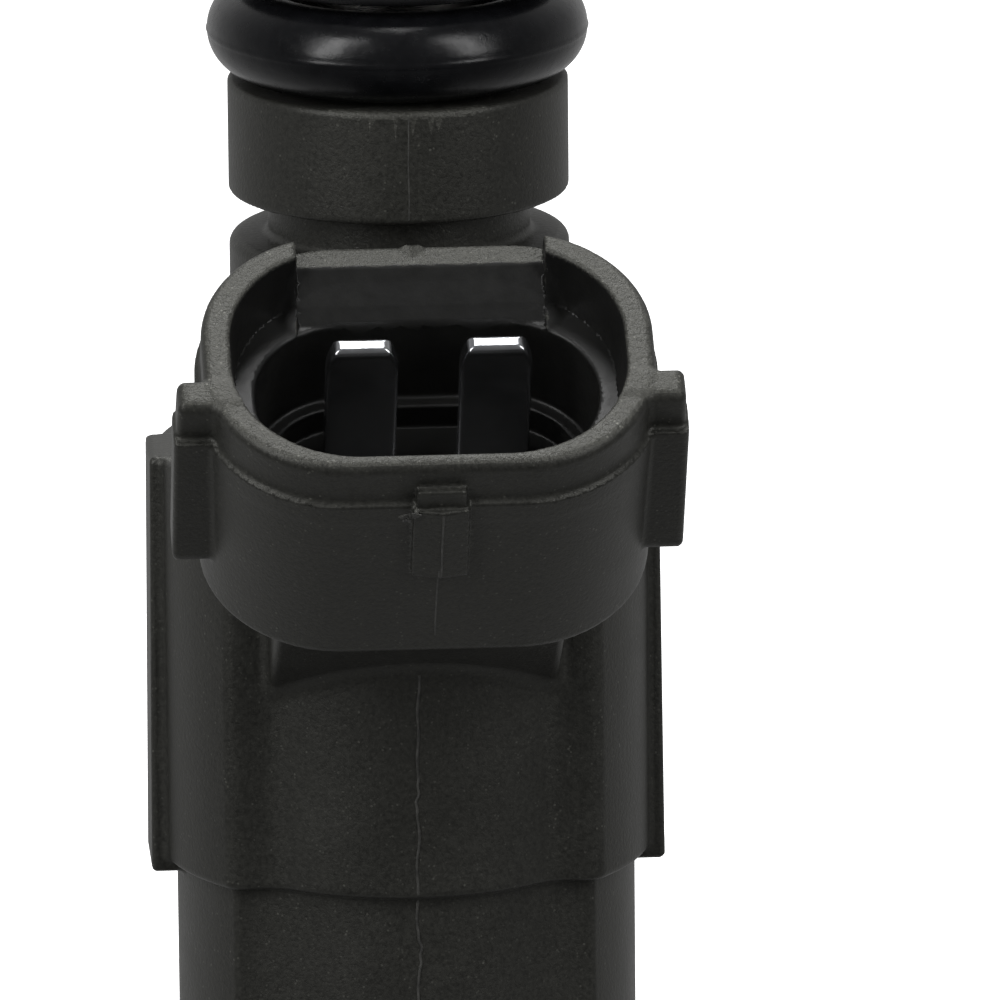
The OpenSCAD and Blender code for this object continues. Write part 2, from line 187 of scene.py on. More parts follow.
def neck(x, y, z):
    """The block that carries the socket on the body."""
    under = half_plane(y, z, (-8.2, BODY_TOP - 6.73), socket_point(-2.4, SOCKET_LENGTH))
    over = half_plane(y, z, socket_point(5.2, SOCKET_LENGTH), (-5.5, BODY_TOP))
    u, depth = socket_axes(y, z)
    block = np.maximum(np.maximum(-under, -over), (SOCKET_LENGTH - 1) - depth)
    block = both(block, y + 5.0, 0.1)
    return both(block, np.abs(x) - 5.5, 0.3)


def socket_shell(x, u, depth):
    """Outside of the connector socket with its ears, tab and nub."""
    rim = both(outline(x, u, 8.4, -5.4, 6.75, 5.2), between(depth, 0, 3), 0.38)
    draft = 0.024 * (depth - PARTING)
    skirt = outline(x, u, 8.62, -5.62, 6.75, 5.42) + draft
    skirt = both(skirt, PARTING - depth, 0.05)
    skirt = both(skirt, depth - SOCKET_LENGTH, 0.35)
    shell = either(rim, skirt, 0.28)
    ear_top = both(np.abs(x) - 9.4 - 0.03 * depth, between(u, -2.08, -0.6), 0.3)
    ear_top = both(ear_top, between(depth, 0, 3), 0.4)
    ear = both(np.abs(x) - 9.55, between(u, -2.4, -0.6), 0.22)
    ear = both(ear, depth - 8.2, 0.55)
    ear = both(ear, EAR_STEP - depth, 0.04)
    shell = either(either(shell, ear_top, 0.22), ear, 0.16)
    x = x - CORE_SHIFT
    tab = both(np.abs(x) - 0.92, between(depth, 1.05, PARTING), 0.08)
    tab = both(tab, -5.75 - u, 0.08)
    tab = np.maximum(tab, u + 4.8)
    nub = both(np.abs(x) - 1.05, between(depth, PARTING, 5.4), 0.1)
    nub = both(nub, -6.03 + 0.14 * np.abs(x) - u, 0.06)
    nub = np.maximum(nub, u + 4.8)
    return either(either(shell, tab, 0.06), nub, 0.08)


def socket_hollow(x, u, depth):
    """The hollow that takes the plug, with a wide slot in its back wall."""
    flare = 0.1 * (MOUTH_DEPTH - depth)
    mouth = outline(x, u, 7.1, -4.5, 5.75, 4.45) - flare
    mouth = np.maximum(mouth, depth - MOUTH_DEPTH)
    # the sloping plane that the slot's floor and the back wall's foot share
    wall = (u - POCKET_BACK) * 0.67 + (depth - MOUTH_DEPTH) * 0.742
    beside = np.abs(x) - SLOT_HALF
    mouth = cut(mouth, 0.75 * (0.9 * np.maximum(beside, 0) - wall), 0.5)
    slot = np.maximum(np.maximum(wall, depth - MOUTH_DEPTH), np.maximum(3.0 - u, beside))
    pocket = both(outline(x, u, 6.4, -3.05, POCKET_BACK, 3.5), depth - 6.3, 0.15)
    well = both(outline(x, u, 5.85, -2.54, 3.66, 3.05), depth - 7.4, 0.1)
    return either(either(np.minimum(mouth, slot), pocket, 0.12), well, 0.08)


def terminal_field(x, y, z, side):
    """A terminal: the blade in the socket and the strip down to the coil."""
    u, depth = socket_axes(y, z)
    flat = np.abs(u - BLADE_U) - METAL_HALF
    off = np.abs(x - side * 2.5 - CORE_SHIFT)
    # the tip is tapered in width and bevelled on both faces
    blade = both(off - 1.35, BLADE_TIP - depth, 0.2)
    blade = both(blade, (off - 1.0 - 0.45 * (depth - BLADE_TIP)) * 0.91, 0.2)
    blade = both(blade, (np.abs(u - BLADE_U) - depth + 0.98) * 0.707, 0.1)
    blade = both(both(blade, flat, 0.17), depth - 9.5, 0.1)
    elbow_y, elbow_z = socket_point(BLADE_U, ELBOW_DEPTH)
    leaning = np.maximum(flat, between(depth, 9.3, ELBOW_DEPTH))
    level = np.maximum(np.abs(z - elbow_z) - METAL_HALF, between(y, elbow_y, FOOT_Y))
    foot = np.maximum(np.abs(y - FOOT_Y) - METAL_HALF, between(z, 41.5, elbow_z))
    bends = np.minimum(np.hypot(y - elbow_y, z - elbow_z), np.hypot(y - FOOT_Y, z - elbow_z))
    path = np.minimum(np.minimum(leaning, level), np.minimum(foot, bends - METAL_HALF))
    strip = both(path, np.abs(x - side * 2.0) - 0.6, 0.06)
    return np.minimum(blade, strip)


def body_field(x, y, z):
    """The whole moulded body."""
    u, depth = socket_axes(y, z)
    solid = either(body_sections(x, y, z), collars(x, y, z), 0.4)
    solid = either(solid, neck(x, y, z), 0.45)
    solid = either(solid, socket_shell(x, u, depth), 0.25)
    solid = cut(solid, socket_hollow(x, u, depth), 0.14)
    notch = np.maximum(between(u, 4.3, 7.75), depth - SLOT_DEPTH)
    solid = cut(solid, np.maximum(np.abs(x) - SLOT_HALF, notch), 0.06)
    # a small nib that the mould leaves on the notch's floor
    nib = np.maximum(0.5 * np.abs(x + 0.25) + SLOT_DEPTH - depth - 0.55 * (u - 6.2), u - 6.72)
    solid = np.minimum(solid, np.maximum(nib, depth - 1.2))
    # room for the pieces that the body is moulded round
    r = np.hypot(x, y)
    solid = np.maximum(solid, -np.maximum(r - HOUSING_R, z - HOUSING_TOP))
    solid = np.maximum(solid, CORE_R - r)
    tower = np.maximum(np.abs(x) - 3.2, np.maximum(between(y, -5.9, -3.95), r - 6.0))
    tower = np.maximum(tower, z - TOWER_TOP)
    solid = np.maximum(solid, -tower)
    blades = np.minimum(terminal_field(x, y, z, -1), terminal_field(x, y, z, 1))
    return np.maximum(solid, -blades)


def sample(field, p):
    """A field's value at every point, worked out in small blocks on several threads."""
    out = np.empty(len(p))

    def block(i):
        out[i:i + 8192] = field(*np.ascontiguousarray(p[i:i + 8192].T))

    with ThreadPoolExecutor(4) as pool:
        list(pool.map(block, range(0, len(p), 8192)))
    return out


def slope(field, p, h=0.004):
    """A field's value and gradient at every point."""
    value = sample(field, p)
    g = np.empty_like(p)
    for k in range(3):
        step = np.zeros(3)
        step[k] = h
        g[:, k] = (sample(field, p + step) - value) / h
    return value, g


def unit(v):
    return v / np.maximum(np.linalg.norm(v, axis=1, keepdims=True), 1e-9)


def snap(field, p):
    """Moves points on to the field's surface."""
    for _ in range(2):
        value, g = slope(field, p)
        p = p - np.clip(value / np.maximum((g * g).sum(1), 0.3), -0.06, 0.06)[:, None] * g
    return p


def sharpen(field, p, pitch):
    """Moves points near an edge to where the faces beside it meet."""
    edge = np.linalg.norm(slope(field, p, 0.4 * pitch)[1], axis=1)
    edge = np.minimum(edge, np.linalg.norm(slope(field, p, -0.4 * pitch)[1], axis=1))
    near = np.nonzero(edge < 0.985)[0]
    at = p[near]
    a = np.tile(np.eye(3) * 0.02, (len(at), 1, 1))
    b = np.zeros((len(at), 3))
    for corner in np.ndindex(2, 2, 2):
        q = at + (np.array(corner) - 0.5) * pitch * 0.9
        value, g = slope(field, q)
        size = np.maximum(np.linalg.norm(g, axis=1), 0.3)
        g /= size[:, None]
        miss = value / size + (g * (at - q)).sum(1)
        a += g[:, :, None] * g[:, None, :]
        b -= miss[:, None] * g
    move = np.linalg.solve(a, b[:, :, None])[:, :, 0]
    length = np.linalg.norm(move, axis=1, keepdims=True)
    p[near] = at + move * np.minimum(1, 0.7 * pitch / np.maximum(length, 1e-9))
    return p


def corner_normals(field, mesh, points):
    """Normals for every face corner: shared on smooth parts, split at crisp edges."""
    n = len(mesh.loops)
    loop_vertex = np.empty(n, np.int32)
    mesh.loops.foreach_get("vertex_index", loop_vertex)
    starts = np.empty(len(mesh.polygons), np.int32)
    mesh.polygons.foreach_get("loop_start", starts)
    counts = np.diff(np.append(starts, n))
    centres = np.add.reduceat(points[loop_vertex], starts) / counts[:, None]
    shared = unit(slope(field, points, 0.02)[1])[loop_vertex]
    inward = np.repeat(centres, counts, axis=0) - points[loop_vertex]
    length = np.linalg.norm(inward, axis=1, keepdims=True)
    inward *= np.minimum(0.3, 0.09 / np.maximum(length, 1e-9))
    own = unit(slope(field, points[loop_vertex] + inward, 0.008)[1])
    return np.where((own * shared).sum(1)[:, None] > 0.93, shared, own)


def surface_quads(field, low, high, pitch):
    """Points and quads around a field's surface, looking only close to it."""
    low = np.array(low, float)
    side = 4
    blocks = np.ceil((np.array(high) - low) / pitch / side).astype(int)
    centres = np.stack(np.meshgrid(*[np.arange(n) for n in blocks], indexing="ij"), -1)
    centres = centres.reshape(-1, 3)
    far = sample(field, low + (centres * side + (side - 1) / 2) * pitch)
    near = centres[np.abs(far) < 1.3 * side * pitch]
    values = np.repeat(far.reshape(blocks), side, 0).repeat(side, 1).repeat(side, 2)
    cell = np.stack(np.meshgrid(*[np.arange(side)] * 3, indexing="ij"), -1).reshape(-1, 3)
    voxels = (near[:, None, :] * side + cell).reshape(-1, 3)
    values[tuple(voxels.T)] = sample(field, low + voxels * pitch)
    grid = openvdb.FloatGrid(4 * pitch)
    grid.copyFromArray(np.clip(values, -4 * pitch, 4 * pitch).astype(np.float32))
    points, quads = grid.convertToQuads(0.0)
    return low + np.asarray(points, float) * pitch, np.asarray(quads)


def placed(name, data):
    """A new object in the scene for a mesh, a light or a camera."""
    ob = bpy.data.objects.new(name, data)
    bpy.context.scene.collection.objects.link(ob)
    return ob


def mesh_mm(name, points, faces):
    """A mesh of points in millimetres and faces of equal length."""
    mesh = bpy.data.meshes.new(name)
    mesh.from_pydata((points * MM).tolist(), [], faces.tolist())
    return mesh


def shade_smooth(mesh):
    mesh.polygons.foreach_set("use_smooth", np.ones(len(mesh.polygons), bool))


def field_mesh(name, field, low, high, pitch, most):
    """A closed mesh of a field's surface, with crisp edges and the field's normals.

    It is thinned to about the given number of triangles when it has more.
    """
    points, quads = surface_quads(field, low, high, pitch)
    points = sharpen(field, snap(field, points), pitch)
    across = np.cross(points[quads[:, 2]] - points[quads[:, 0]],
                      points[quads[:, 3]] - points[quads[:, 1]])
    some = slice(None, None, 50)
    if (across[some] * slope(field, points[quads[some]].mean(1))[1]).sum() < 0:
        quads = quads[:, ::-1]
    mesh = mesh_mm(name, points, quads)
    ob = placed(name, mesh)
    if len(quads) * 2 > most:
        thin = ob.modifiers.new("thin", "DECIMATE")
        thin.ratio = most / (2 * len(quads))
        thin.use_collapse_triangulate = True
        graph = bpy.context.evaluated_depsgraph_get()
        thinned = bpy.data.meshes.new_from_object(ob.evaluated_get(graph))
        ob.modifiers.clear()
        ob.data = thinned
        bpy.data.meshes.remove(mesh)
        mesh = thinned
        mesh.name = name
    co = np.empty(len(mesh.vertices) * 3, np.float32)
    mesh.vertices.foreach_get("co", co)
    normals = corner_normals(field, mesh, co.reshape(-1, 3).astype(float) / MM)
    shade_smooth(mesh)
    mesh.normals_split_custom_set(normals.tolist())
    mesh.update()
    return ob


# --- turned and moulded rings ---------------------------------------------------


def rounded(corners, steps=6):
    """A closed outline from corners (r, z, radius), each rounded by its radius."""
    out = []
    n = len(corners)
    for i, (r, z, radius) in enumerate(corners):
        here = np.array((r, z), float)
        before = np.array(corners[i - 1][:2], float) - here
        after = np.array(corners[(i + 1) % n][:2], float) - here
        if radius <= 0:
            out.append(here)
            continue
        before /= np.linalg.norm(before)
        after /= np.linalg.norm(after)
        half = math.acos(np.clip(before @ after, -1, 1)) / 2
        tangent = radius / math.tan(half)
        centre = here + (before + after) / np.linalg.norm(before + after) * radius / math.sin(half)
        a, b = here + before * tangent - centre, here + after * tangent - centre
        for k in range(steps + 1):
            mixed = a * (1 - k / steps) + b * (k / steps)
            out.append(centre + mixed / np.linalg.norm(mixed) * radius)
    return np.array(out)


def lathe(name, profile, segments=192, wobble=None):
    """A closed ring made by turning an outline of (r, z) points round the axis."""
    profile = np.array(profile)
    turn = np.linspace(0, 2 * math.pi, segments, endpoint=False)
    r, z = (np.broadcast_to(profile[:, k], (segments, len(profile))) for k in (0, 1))
    if wobble:
        r = r + wobble(turn)[:, None]
    points = np.stack([r * np.cos(turn)[:, None], r * np.sin(turn)[:, None], z], -1).reshape(-1, 3)
    m = len(profile)
    i, k = np.meshgrid(np.arange(segments), np.arange(m), indexing="ij")
    j, l = (i + 1) % segments, (k + 1) % m
    faces = np.stack([i * m + k, j * m + k, j * m + l, i * m + l], -1).reshape(-1, 4)
    r, z = profile.T
    if np.sum(r * np.roll(z, -1) - np.roll(r, -1) * z) < 0:
        faces = faces[:, ::-1]
    mesh = mesh_mm(name, points, faces)
    shade_smooth(mesh)
    mesh.set_sharp_from_angle(angle=math.radians(38))
    return placed(name, mesh)


def ring_seal(name, node):
    """An O-ring with the fine parting ridge that its mould leaves round it."""
    low, high = box_mm(node)
    section = (high[2] - low[2]) / 2
    middle_r, middle_z = high[0] - section, (low[2] + high[2]) / 2
    around = np.linspace(0, 2 * math.pi, 120, endpoint=False)
    ridge = 0.035 * np.exp(-(np.minimum(around, 2 * math.pi - around) * section / 0.07) ** 2)
    ridge += 0.03 * np.exp(-((around - math.pi) * section / 0.07) ** 2)
    reach = section - 0.03 + ridge
    profile = np.stack([middle_r + reach * np.cos(around), middle_z + reach * np.sin(around)], -1)
    return lathe(name, profile, segments=256,
                 wobble=lambda a: 0.012 * np.sin(3 * a + 1) + 0.006 * np.sin(11 * a))


def stand_in(ob, node, body="injector"):
    """Makes a new piece stand for a CAD node."""
    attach(ob, body)
    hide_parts(node)
    return ob


moulded = field_mesh("moulded_body", body_field, body_low - 0.5, body_high + 0.5,
                     0.14, 190000)
stand_in(moulded, "overmold_body")

for side, node in ((-1, "terminal_left"), (1, "terminal_right")):
    low, high = box_mm(node)
    blade = field_mesh(node.replace("terminal", "blade"),
                       lambda x, y, z, side=side: terminal_field(x, y, z, side),
                       low - 0.4, high + 0.4, 0.09, 30000)
    stand_in(blade, node)

stand_in(ring_seal("rail_seal", "rail_o_ring"), "rail_o_ring")
stand_in(ring_seal("manifold_seal", "lower_o_ring"), "lower_o_ring")

low, high = box_mm("retainer_cap")
core_top = box_mm("inlet_core")[1][2]
stand_in(lathe("inlet_cap", rounded([
    (CORE_R, low[2], 0.1), (high[0], low[2], 0.32), (high[0], high[2], 0.45),
    (4.3, high[2], 0.15), (4.1, high[2] - 0.25, 0.1), (3.1, high[2] - 0.25, 0.2),
    (3.1, core_top, 0), (CORE_R, core_top, 0)])),
    "retainer_cap")

low, high = box_mm("nozzle_cap")
stand_in(lathe("outlet_cap", rounded([
    (2.3, low[2], 0.25), (4.4, low[2], 0.6), (high[0], 1.1, 0.5), (high[0], high[2], 0.3),
    (CORE_R, high[2], 0), (CORE_R, 1.2, 0), (2.3, 1.2, 0)])), "nozzle_cap")

low, high = box_mm("lower_backup_ring")
stand_in(lathe("backup_ring", rounded([
    (CORE_R, low[2], 0.1), (high[0], low[2], 0.2),
    (high[0], high[2], 0.12), (CORE_R, high[2], 0.05)])),
    "lower_backup_ring")

low, high = box_mm("solenoid_housing")
groove_r = high[0] - 0.12
stand_in(lathe("coil_can", rounded([
    (CORE_R, low[2], 0.1), (high[0] - 0.5, low[2], 0.1), (high[0], low[2] + 0.5, 0.15),
    (high[0], 12.6, 0.05), (groove_r, 12.72, 0.05), (groove_r, 13.3, 0.05), (high[0], 13.42, 0.05),
    (high[0], high[2], 0.1), (6.05, high[2], 0.05), (6.05, 22, 0), (4.9, 22, 0),
    (4.9, 12, 0), (CORE_R, 12, 0)])),
    "solenoid_housing")

# the return spring, on its own copy of the CAD node's mesh
low, high = box_mm("return_spring")
spring = placed("valve_spring", frame["nodes"]["return_spring"].data.copy())
stand_in(spring, "return_spring")
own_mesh(spring)


# --- mould seams and torn flash -------------------------------------------------


def front_of(field, x, z, y0):
    """Where a line along +y first meets the field's surface."""
    y = np.full_like(x, y0)
    for _ in range(70):
        y = y + np.clip(field(x, y, z), -0.3, 1.0) * 0.9
    return y


def seam(name, z0, z1, y0, proud=0.09, half_w=0.07, seed=3, shift=0.0, wander=1.0):
    """A thin wandering bead where the mould's halves meet, down the front."""
    rng = random.Random(seed)
    waves = [(rng.uniform(0.25, 1.6), rng.uniform(0, 6.3), rng.uniform(0.3, 1)) for _ in range(7)]
    z = np.arange(z0, z1, 0.1)
    drift = sum(size * np.sin(rate * z * 2 + phase) for rate, phase, size in waves) * 0.035
    kink = 0.05 * wander * np.sin(z * 9.0) * np.exp(-((z - z0) % 7.1 - 4) ** 2 / 0.3)
    drift = drift * wander + kink + shift
    height = proud * (0.75 + 0.25 * np.sin(z * 3.1 + seed) * np.sin(z * 7.7))
    height *= np.clip(np.minimum(z - z0, z1 - z) / 0.5, 0, 1)
    rows = []
    for across, share in ((-1.0, -0.4), (-0.55, 0.55), (0.0, 1.0), (0.55, 0.55), (1.0, -0.4)):
        x = drift + across * half_w
        rows.append(np.stack([x, front_of(body_field, x, z, y0) - height * share, z], -1))
    rows = np.stack(rows, 1)
    n, m = rows.shape[:2]
    i, k = np.meshgrid(np.arange(n - 1), np.arange(m - 1), indexing="ij")
    first = i * m + k
    faces = np.stack([first, first + 1, first + m + 1, first + m], -1).reshape(-1, 4)
    mesh = mesh_mm(name, rows.reshape(-1, 3), faces)
    shade_smooth(mesh)
    ob = placed(name, mesh)
    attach(ob, "injector")
    return ob


seams = [
    seam("seam_lower", BODY_BOTTOM + 0.4, STEP - 0.1, -9.5, seed=3),
    seam("seam_upper", STEP + 0.1, BODY_TOP - 7.0, -9.5, seed=5),
    seam("seam_collar", GROOVE_TOP + 0.2, COLLAR_TOP - 0.1, -8.5,
         proud=0.03, half_w=0.035, seed=8, wander=0.2),
    seam("seam_nub", SOCKET_Z - 7.7, SOCKET_Z - 4.9, -25,
         proud=0.07, half_w=0.045, seed=21, shift=0.2, wander=0.35),
    seam("seam_socket", SOCKET_Z - 10.6, SOCKET_Z - 7.4, -25,
         proud=0.04, half_w=0.04, seed=11, shift=0.12, wander=0.5),
]


def torn_flash(name, x, u, depth, size, seed):
    """A scrap of torn mould flash that lies against the socket's front."""
    corners = 7
    rng = random.Random(seed)
    mesh = bmesh.new()
    for _ in range(5):
        turn = rng.uniform(0, 2 * math.pi)
        cx, cd = x + size * rng.uniform(-0.7, 0.7), depth + size * rng.uniform(-0.5, 0.5)
        ring = []
        for k in range(corners):
            angle = turn + k * 2 * math.pi / corners
            reach = size * rng.uniform(0.2, 0.62)
            px, pd = cx + reach * math.cos(angle), cd + 0.6 * reach * math.sin(angle)
            y, z = socket_point(u - rng.uniform(0.0, 0.1), pd)
            ring.append(mesh.verts.new((px * MM, y * MM, z * MM)))
        mesh.faces.new(ring)
    bmesh.ops.triangulate(mesh, faces=mesh.faces[:])
    data = bpy.data.meshes.new(name)
    mesh.to_mesh(data)
    mesh.free()
    ob = placed(name, data)
    solid = ob.modifiers.new("thickness", "SOLIDIFY")
    solid.thickness = 0.05 * MM
    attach(ob, "injector")
    return ob


seams.append(torn_flash("flash_scrap", x=-1.0, u=-5.9, depth=2.1, size=0.44, seed=4))


# --- materials --------------------------------------------------------------------


class Finish:
    """A node material built in short steps, with one principled shader."""

    def __init__(self, name, metallic=0.0, specular=0.5):
        self.material = bpy.data.materials.new(name)
        self.material.use_nodes = True
        self.nodes, self.links = self.material.node_tree.nodes, self.material.node_tree.links
        self.shader = self.nodes["Principled BSDF"]
        self.shader.inputs["Metallic"].default_value = metallic
        self.shader.inputs["Specular IOR Level"].default_value = specular
        self.where = self.nodes.new("ShaderNodeTexCoord").outputs["Object"]
        self.normal = None

    def noise(self, size_mm, detail=3.0, stretch=(1, 1, 1), roughness=0.6):
        """Noise with features of about size_mm, from 0 to 1."""
        mapping = self.nodes.new("ShaderNodeMapping")
        mapping.inputs["Scale"].default_value = [k / (size_mm * MM) for k in stretch]
        self.links.new(self.where, mapping.inputs["Vector"])
        noise = self.nodes.new("ShaderNodeTexNoise")
        noise.inputs["Scale"].default_value = 1.0
        noise.inputs["Detail"].default_value = detail
        noise.inputs["Roughness"].default_value = roughness
        self.links.new(mapping.outputs["Vector"], noise.inputs["Vector"])
        return noise.outputs["Fac"]

    def cells(self, size_mm):
        """Round grains about size_mm apart: 0 at a grain's middle."""
        cells = self.nodes.new("ShaderNodeTexVoronoi")
        cells.inputs["Scale"].default_value = 1 / (size_mm * MM)
        self.links.new(self.where, cells.inputs["Vector"])
        return cells.outputs["Distance"]

    def ramp(self, value, stops):
        """A colour ramp over stops of (place, colour or grey)."""
        ramp = self.nodes.new("ShaderNodeValToRGB")
        points = ramp.color_ramp.elements
        while len(points) < len(stops):
            points.new(0.5)
        for point, (place, colour) in zip(points, stops):
            point.position = place
            grey = isinstance(colour, (int, float))
            point.color = (colour, colour, colour, 1) if grey else (*colour, 1)
        self.links.new(value, ramp.inputs["Fac"])
        return ramp.outputs["Color"]

    def mix(self, a, b, factor, mode="MIX"):
        """Blends two colours or greys, each given as a value or as a node's output."""
        mix = self.nodes.new("ShaderNodeMix")
        mix.data_type = "RGBA"
        mix.blend_type = mode
        for value, place in ((factor, 0), (a, 6), (b, 7)):
            if isinstance(value, (int, float)):
                mix.inputs[place].default_value = (value, value, value, 1) if place else value
            elif isinstance(value, tuple):
                mix.inputs[place].default_value = (*value, 1)
            else:
                self.links.new(value, mix.inputs[place])
        return mix.outputs[2]

    def colour(self, value):
        self.links.new(value, self.shader.inputs["Base Color"])
        return self

    def rough(self, value):
        self.links.new(value, self.shader.inputs["Roughness"])
        return self

    def bump(self, value, height_mm):
        """Raises the surface by value times height_mm, on top of any bump before it."""
        bump = self.nodes.new("ShaderNodeBump")
        bump.inputs["Strength"].default_value = 1.0
        bump.inputs["Distance"].default_value = height_mm * MM
        self.links.new(value, bump.inputs["Height"])
        if self.normal is not None:
            self.links.new(self.normal, bump.inputs["Normal"])
        self.normal = bump.outputs["Normal"]
        self.links.new(self.normal, self.shader.inputs["Normal"])
        return self


def moulded_nylon(name="moulded_nylon", pale=1.0, texture=0.022, dots=0.1):
    """Black nylon with soft patches, a fine grain and scattered pale specks; a pale above 1
    lightens it all over, as a painted highlight.
    """
    f = Finish(name)
    f.shader.inputs["Specular Tint"].default_value = (1.0, 1.0, 0.94, 1)
    grain = f.noise(0.17, 2, roughness=0.75)
    patches = f.noise(3.5, 2)
    specks = f.ramp(f.cells(0.22), [(0.0, 1.0), (0.16, 0.85), (0.26, 0.0)])
    chosen = f.ramp(f.noise(0.5, 3), [(0.5, 0.0), (0.68, 0.85)])
    low, high = 0.0195 * pale, 0.0245 * pale
    base = f.ramp(patches, [(0.3, (low, low, 0.88 * low)), (0.7, (high, high, 0.88 * high))])
    base = f.mix(base, f.ramp(grain, [(0.3, 0.5), (0.7, 1.5)]), 0.8, "MULTIPLY")
    f.colour(f.mix(base, (dots, dots, 0.88 * dots), f.mix(0.0, chosen, specks)))
    f.rough(f.ramp(f.mix(grain, patches, 0.4), [(0.3, 0.4), (0.7, 0.56)]))
    f.bump(patches, 0.02)
    return f.bump(grain, texture).material


def polished_nylon_painted_shade():
    """The inside of the socket, which its mould's polished core leaves smooth, with a base colour
    about a third of the outside's as painted shade in the hollow.
    """
    f = Finish("polished_nylon_painted_shade", specular=0.42)
    cloud = f.noise(1.6, 3)
    f.colour(f.ramp(cloud, [(0.3, (0.0062, 0.0062, 0.0058)), (0.7, (0.0098, 0.0098, 0.009))]))
    f.rough(f.ramp(f.noise(0.5, 3), [(0.3, 0.4), (0.7, 0.48)]))
    return f.bump(f.noise(0.2, 2), 0.006).material


def flash():
    f = Finish("flash")
    f.colour(f.ramp(f.noise(0.3, 3), [(0.3, (0.03, 0.03, 0.028)), (0.7, (0.075, 0.074, 0.068))]))
    f.rough(f.ramp(f.noise(0.2, 3), [(0.3, 0.45), (0.7, 0.6)]))
    return f.bump(f.noise(0.1, 3), 0.01).material


def cap_plastic():
    f = Finish("cap_plastic")
    streaks = f.noise(1.2, 4, (1, 1, 3))
    f.colour(f.ramp(streaks, [(0.3, (0.008, 0.008, 0.009)), (0.75, (0.014, 0.014, 0.015))]))
    f.rough(f.ramp(f.noise(0.5, 4), [(0.3, 0.22), (0.75, 0.36)]))
    f.bump(f.noise(2.2, 2), 0.012)
    return f.bump(f.noise(0.09, 2), 0.0015).material


def seal_rubber():
    f = Finish("seal_rubber", specular=0.32)
    cloud = f.noise(0.8, 4)
    f.colour(f.ramp(cloud, [(0.3, (0.004, 0.0042, 0.005)), (0.75, (0.008, 0.0083, 0.0095))]))
    f.rough(f.ramp(f.noise(0.35, 5), [(0.3, 0.2), (0.75, 0.3)]))
    f.bump(f.noise(1.5, 2, (1, 1, 2)), 0.02)
    return f.bump(f.noise(0.08, 3), 0.006).material


def steel(name, colour, low, high, turned=True, mark=0.03):
    f = Finish(name, metallic=1.0)
    marks = f.noise(mark, 3, (0.02, 0.02, 1) if turned else (1, 1, 1))
    stain = f.noise(2.6, 4)
    tint = f.ramp(stain, [(0.3, tuple(c * 0.82 for c in colour)), (0.75, colour)])
    f.colour(f.mix(tint, f.ramp(marks, [(0.3, 0.78), (0.7, 1.0)]), 0.6, "MULTIPLY"))
    f.rough(f.ramp(f.mix(marks, stain, 0.5), [(0.3, low), (0.7, high)]))
    return f.bump(marks, 0.003).material


def tinned_blade():
    f = Finish("tinned_blade", metallic=1.0)
    cloud = f.noise(1.4, 3)
    f.colour(f.ramp(cloud, [(0.3, (0.55, 0.56, 0.59)), (0.7, (0.62, 0.63, 0.65))]))
    f.rough(f.ramp(f.noise(0.7, 3, (1, 1, 0.3)), [(0.3, 0.2), (0.7, 0.27)]))
    return f.bump(f.noise(0.4, 2), 0.0012).material


def natural_nylon():
    f = Finish("natural_nylon")
    f.colour(f.ramp(f.noise(1.8, 4), [(0.3, (0.56, 0.51, 0.38)), (0.75, (0.68, 0.64, 0.52))]))
    f.rough(f.ramp(f.noise(0.4, 4), [(0.3, 0.36), (0.75, 0.5)]))
    f.shader.inputs["Subsurface Weight"].default_value = 0.25
    f.shader.inputs["Subsurface Radius"].default_value = (0.0009, 0.0007, 0.0005)
    f.shader.inputs["Subsurface Scale"].default_value = 1.0
    return f.bump(f.noise(0.15, 3), 0.008).material


def copper_wire():
    f = Finish("copper_wire", metallic=1.0)
    wave = f.nodes.new("ShaderNodeTexWave")
    wave.bands_direction = "Z"
    wave.inputs["Scale"].default_value = 0.314 / (0.18 * MM)
    wave.inputs["Distortion"].default_value = 0.4
    f.links.new(f.where, wave.inputs["Vector"])
    turns = wave.outputs["Fac"]
    f.colour(f.ramp(turns, [(0.0, (0.16, 0.05, 0.02)), (0.5, (0.66, 0.27, 0.12))]))
    f.rough(f.ramp(f.noise(0.6, 3), [(0.3, 0.22), (0.7, 0.36)]))
    return f.bump(turns, 0.06).material


def filter_weave():
    f = Finish("filter_weave")
    parts = []
    for direction in ("Z", "DIAGONAL"):
        wave = f.nodes.new("ShaderNodeTexWave")
        wave.bands_direction = direction
        wave.inputs["Scale"].default_value = 0.314 / (0.16 * MM)
        f.links.new(f.where, wave.inputs["Vector"])
        parts.append(wave.outputs["Fac"])
    weave = f.mix(parts[0], parts[1], 0.5, "MULTIPLY")
    f.colour(f.ramp(weave, [(0.0, (0.3, 0.28, 0.22)), (0.6, (0.72, 0.7, 0.6))]))
    f.rough(f.ramp(f.noise(0.4, 3), [(0.3, 0.4), (0.7, 0.55)]))
    return f.bump(weave, 0.05).material


FINISHES = {
    "moulded_nylon": moulded_nylon(),
    # the same nylon twice as pale, with brighter specks: a painted highlight on the rim's top,
    # where light from above falls
    "rim_painted_highlight": moulded_nylon("rim_painted_highlight", pale=2.0, texture=0.05, dots=0.24),
    "polished_nylon_painted_shade": polished_nylon_painted_shade(),
    "flash": flash(),
    "cap_plastic": cap_plastic(),
    "seal_rubber": seal_rubber(),
    "turned_steel": steel("turned_steel", (0.62, 0.61, 0.59), 0.2, 0.36),
    "housing_steel": steel("housing_steel", (0.56, 0.56, 0.55), 0.26, 0.42, mark=0.05),
    "spring_steel": steel("spring_steel", (0.52, 0.51, 0.5), 0.22, 0.34, turned=False, mark=0.2),
    "tinned_blade": tinned_blade(),
    "filter_brass": steel("filter_brass", (0.78, 0.56, 0.24), 0.2, 0.34),
    "copper_wire": copper_wire(),
    "natural_nylon": natural_nylon(),
    "filter_weave": filter_weave(),
}


